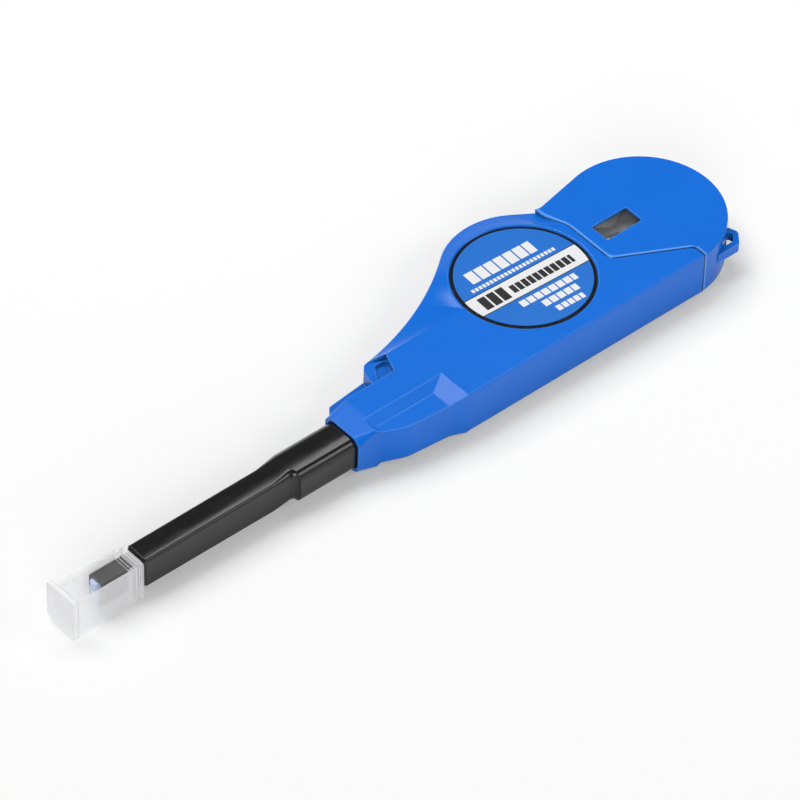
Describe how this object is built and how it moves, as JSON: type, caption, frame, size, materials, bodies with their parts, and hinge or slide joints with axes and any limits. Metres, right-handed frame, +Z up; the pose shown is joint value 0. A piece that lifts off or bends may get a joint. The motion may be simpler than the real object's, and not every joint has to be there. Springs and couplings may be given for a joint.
{
  "type": "fibre connector cleaning pen",
  "caption": "Push-type cleaning pen for fibre connectors: a slim barrel with a frosted guide cap slides into a flat two-lobed housing and winds cleaning tape past its tip.",
  "frame": {"origin": "on the resting face, under the barrel's axis, level with the centre of the take-up reel", "axes": "+X from the nose to the tail, +Y towards the side with the reel lobes, +Z up to the labelled face"},
  "size_m": [0.233, 0.0504, 0.0137],
  "materials": {
    "blue_shell": "moulded, satin gloss",
    "clear_pane": "clear, polished",
    "black_gloss": "polished black",
    "label_film": "printed film",
    "black_plain": "moulded, plain",
    "head_blue": "moulded, plain",
    "tape": "fine woven microfibre",
    "spring_steel": "drawn wire",
    "frosted": "translucent, frosted",
    "grey_plastic": "moulded, plain",
    "white_plastic": "moulded, plain"
  },
  "bodies": {
    "housing": {"front_shell": "blue_shell", "rear_shell_upper": "blue_shell", "rear_shell_lower": "blue_shell", "window_pane": "clear_pane", "reel_cover": "black_gloss", "round_label": "label_film", "mechanism_plate": "black_plain", "stop_pawl": "white_plastic", "tape_feed_run": "tape", "tape_return_run": "tape", "return_spring": "spring_steel"},
    "barrel": {"barrel": "black_gloss", "drive_slider": "grey_plastic", "tip_spring": "spring_steel"},
    "tip": {"inner_tip": "black_plain", "cleaning_head": "head_blue", "tape_loop": "tape"},
    "cap": {"guide_cap": "frosted"},
    "lid": {"cap_lid": "frosted"},
    "pinion": {"drive_pinion": "grey_plastic"},
    "take_up": {"take_up_reel": "white_plastic", "take_up_tape": "tape"},
    "supply": {"supply_reel": "black_plain", "supply_tape": "tape"}
  },
  "joints": [
    {"name": "barrel_slide", "type": "slide", "parent": "housing", "child": "barrel", "axis": [1, 0, 0], "range_m": [0, 0.012], "stiffness_N_per_m": 750, "springref_m": -0.008, "deforming": ["return_spring"]},
    {"name": "tip_press", "type": "slide", "parent": "barrel", "child": "tip", "axis": [1, 0, 0], "range_m": [0, 0.0015], "stiffness_N_per_m": 500, "springref_m": -0.002, "deforming": ["tip_spring"]},
    {"name": "cap_pull", "type": "slide", "parent": "tip", "child": "cap", "axis": [-1, 0, 0], "range_m": [0, 0.03]},
    {"name": "lid_hinge", "type": "hinge", "parent": "cap", "child": "lid", "pos_m": [-0.1669, -0.0057, 0.00685], "axis": [0, 0, 1], "range_deg": [0, 150]},
    {"name": "pinion_spin", "type": "hinge", "parent": "housing", "child": "pinion", "pos_m": [0, 0.0126, 0.0104], "axis": [0, 0, 1], "range_deg": [0, 110]},
    {"name": "take_up_spin", "type": "hinge", "parent": "housing", "child": "take_up", "pos_m": [0, 0.0126, 0.0068], "axis": [0, 0, 1], "range_deg": [0, 110]},
    {"name": "supply_spin", "type": "hinge", "parent": "housing", "child": "supply", "pos_m": [0.0416, 0.0107, 0.0068], "axis": [0, 0, 1], "range_deg": [-60, 0]}
  ],
  "couplings": [
    {"joint": "pinion_spin", "follows": "barrel_slide", "rad_per_m": 156.25},
    {"joint": "take_up_spin", "follows": "barrel_slide", "rad_per_m": 156.25},
    {"joint": "supply_spin", "follows": "barrel_slide", "rad_per_m": -77.03}
  ]
}
